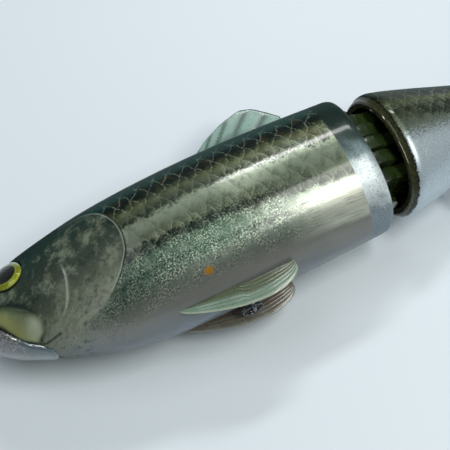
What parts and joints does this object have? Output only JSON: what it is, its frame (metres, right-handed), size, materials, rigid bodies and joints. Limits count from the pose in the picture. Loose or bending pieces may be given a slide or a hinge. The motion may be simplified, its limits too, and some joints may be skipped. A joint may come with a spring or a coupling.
{
  "type": "swimbait",
  "caption": "Jointed hard swimbait shaped like a mullet, with a hinged rear section, split rings for hooks and a line tie at the nose.",
  "frame": {"origin": "middle of the bait's box, on the surface that it lies on, with the bait on its right side", "axes": "+X from nose to tail, +Y to the back with the dorsal fin, +Z to the left flank, which is up"},
  "size_m": [0.261, 0.0698, 0.0434],
  "materials": {
    "painted_shell": "hard plastic shell with a foil scale pattern and dark lengthwise stripes under worn clear coat",
    "bare_resin": "unpainted olive-green translucent moulding",
    "clear_jaw": "bluish clear moulding with chipped paint",
    "fin_plastic": "translucent green rayed blade with a dark edge",
    "eye_foil": "yellow-green ring round a black pupil",
    "eye_dome": "clear dome",
    "wire": "polished stainless wire",
    "lead": "dull grey cast weight"
  },
  "bodies": {
    "front_section": {"front_shell_left": "painted_shell", "front_shell_right": "painted_shell", "lower_jaw": "clear_jaw", "dorsal_fin": "fin_plastic", "pelvic_fin_left": "fin_plastic", "pelvic_fin_right": "fin_plastic", "line_tie": "wire", "belly_hook_hanger": "wire", "front_joint_block": "bare_resin", "hinge_pin": "wire", "pin_plug_top": "bare_resin", "pin_plug_bottom": "bare_resin", "chest_ballast": "lead", "belly_ballast": "lead", "eye_left": "eye_foil", "eye_lens_left": "eye_dome", "eye_right": "eye_foil", "eye_lens_right": "eye_dome"},
    "rear_section": {"rear_shell_left": "painted_shell", "rear_shell_right": "painted_shell", "rear_joint_block": "bare_resin", "rear_hook_hanger": "wire", "rear_ballast": "lead", "anal_fin": "fin_plastic", "tail_fin": "fin_plastic", "tail_pin": "wire"},
    "belly_ring": {"belly_split_ring": "wire"},
    "rear_ring": {"rear_split_ring": "wire"}
  },
  "joints": [
    {"name": "body_hinge", "type": "hinge", "parent": "front_section", "child": "rear_section", "pos_m": [0.01698, -0.00245, 0.0217], "axis": [0, 1, 0], "range_deg": [-32.3, 11.7]},
    {"name": "belly_ring_swing", "type": "hinge", "parent": "front_section", "child": "belly_ring", "pos_m": [-0.03852, -0.03187, 0.0217], "axis": [1, 0, 0], "range_deg": [-180, 0]},
    {"name": "rear_ring_swing", "type": "hinge", "parent": "rear_section", "child": "rear_ring", "pos_m": [0.05043, -0.02355, 0.01562], "axis": [0.9839, 0, -0.1788], "range_deg": [-156, 0]}
  ]
}
